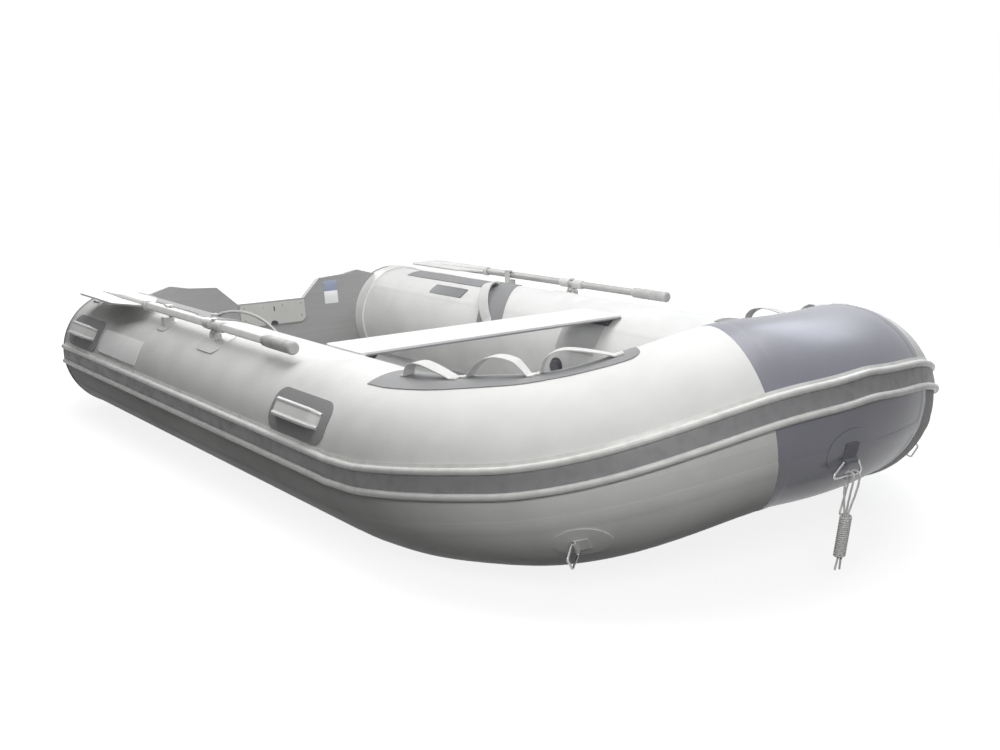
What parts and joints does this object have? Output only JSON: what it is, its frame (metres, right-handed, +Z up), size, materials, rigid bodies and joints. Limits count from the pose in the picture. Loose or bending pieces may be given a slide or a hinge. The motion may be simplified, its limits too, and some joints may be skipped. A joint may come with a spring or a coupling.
{
  "type": "inflatable boat",
  "caption": "Inflatable tender with a U-shaped tube, raised dark bow, rubbing strake, raked transom, bench, floor boards, carrying handles, grab straps, a towing ring and stowed oars.",
  "frame": {"origin": "under the middle of the boat's bounding box, on the floor that the boat stands on", "axes": "+X to the bow, +Y to port, +Z up"},
  "size_m": [3.0504, 1.6188, 0.586],
  "materials": {
    "bench_paint": "painted, semi-gloss",
    "bottom_skin": "coated fabric",
    "bow_skin": "semi-gloss coated fabric",
    "dark_plastic": "satin",
    "fitting_white": "satin",
    "flange_pvc": "satin",
    "floor_board": "non-slip paint",
    "floor_channel": "anodised",
    "handle_white": "satin",
    "keel_strip": "matt",
    "oar_alloy": "anodised",
    "oar_blade": "satin",
    "oar_grip": "matt",
    "patch_grey": "coated fabric",
    "plate_dark": "satin",
    "plate_light": "satin",
    "ring_tab": "woven webbing",
    "rope": "braided",
    "steel": "polished",
    "strake": "satin",
    "strake_bead": "satin",
    "tail_cap": "moulded, satin",
    "transom_outer_pad": "satin",
    "transom_pad": "satin",
    "transom_paint": "painted plywood, semi-gloss",
    "tube_skin": "semi-gloss coated fabric",
    "valve_plastic": "satin",
    "webbing": "woven webbing"
  },
  "bodies": {
    "hull": {"starboard_tube": "tube_skin", "port_tube": "tube_skin", "starboard_tail_cone": "tail_cap", "port_tail_cone": "tail_cap", "floor_channels": "floor_channel", "transom_flanges": "flange_pvc", "bench_patches": "patch_grey", "bench_brackets": "dark_plastic", "side_handle_patches": "patch_grey", "side_handles": "handle_white", "shoulder_patches": "patch_grey", "shoulder_straps": "webbing", "inside_bands": "patch_grey", "inside_straps": "webbing", "wear_pads": "patch_grey", "air_valves": "valve_plastic", "side_ring_patches": "patch_grey", "side_ring_tabs": "ring_tab", "side_rings": "steel", "rowlock_bases": "fitting_white", "dip_pins": "steel", "oar_clips": "fitting_white", "bow_tube": "bow_skin", "strake_band": "strake", "strake_upper_bead": "strake_bead", "strake_lower_bead": "strake_bead", "hull_bottom": "bottom_skin", "keel_guard": "keel_strip", "transom_board": "transom_paint", "transom_inner_pad": "transom_pad", "transom_outer_pad": "transom_outer_pad", "transom_drain_cap": "dark_plastic", "bench": "bench_paint", "bow_floor_board": "floor_board", "floor_panel_1": "floor_board", "floor_panel_2": "floor_board", "floor_panel_3": "floor_board", "floor_panel_4": "floor_board", "info_plate": "plate_dark", "name_plate": "plate_light", "tow_patch": "patch_grey", "tow_tab": "ring_tab", "tow_ring": "steel", "rope_hank": "rope"},
    "starboard_rowlock": {"starboard_rowlock_swivel": "fitting_white", "starboard_rowlock_cap": "fitting_white"},
    "starboard_oar": {"starboard_oar_shaft": "oar_alloy", "starboard_oar_grip": "oar_grip", "starboard_oar_blade": "oar_blade"},
    "port_rowlock": {"port_rowlock_swivel": "fitting_white", "port_rowlock_cap": "fitting_white"},
    "port_oar": {"port_oar_shaft": "oar_alloy", "port_oar_grip": "oar_grip", "port_oar_blade": "oar_blade"}
  },
  "joints": [
    {"name": "starboard_oar_dip", "type": "hinge", "parent": "hull", "child": "starboard_rowlock", "pos_m": [-0.27624, -0.687, 0.41702], "axis": [1, 0, 0], "range_deg": [0, 28]},
    {"name": "starboard_oar_swing", "type": "hinge", "parent": "starboard_rowlock", "child": "starboard_oar", "pos_m": [-0.27624, -0.687, 0.44102], "axis": [0, 0, 1], "range_deg": [0, 120]},
    {"name": "port_oar_dip", "type": "hinge", "parent": "hull", "child": "port_rowlock", "pos_m": [-0.27624, 0.687, 0.41702], "axis": [-1, 0, 0], "range_deg": [0, 28]},
    {"name": "port_oar_swing", "type": "hinge", "parent": "port_rowlock", "child": "port_oar", "pos_m": [-0.27624, 0.687, 0.44102], "axis": [0, 0, -1], "range_deg": [0, 120]}
  ]
}
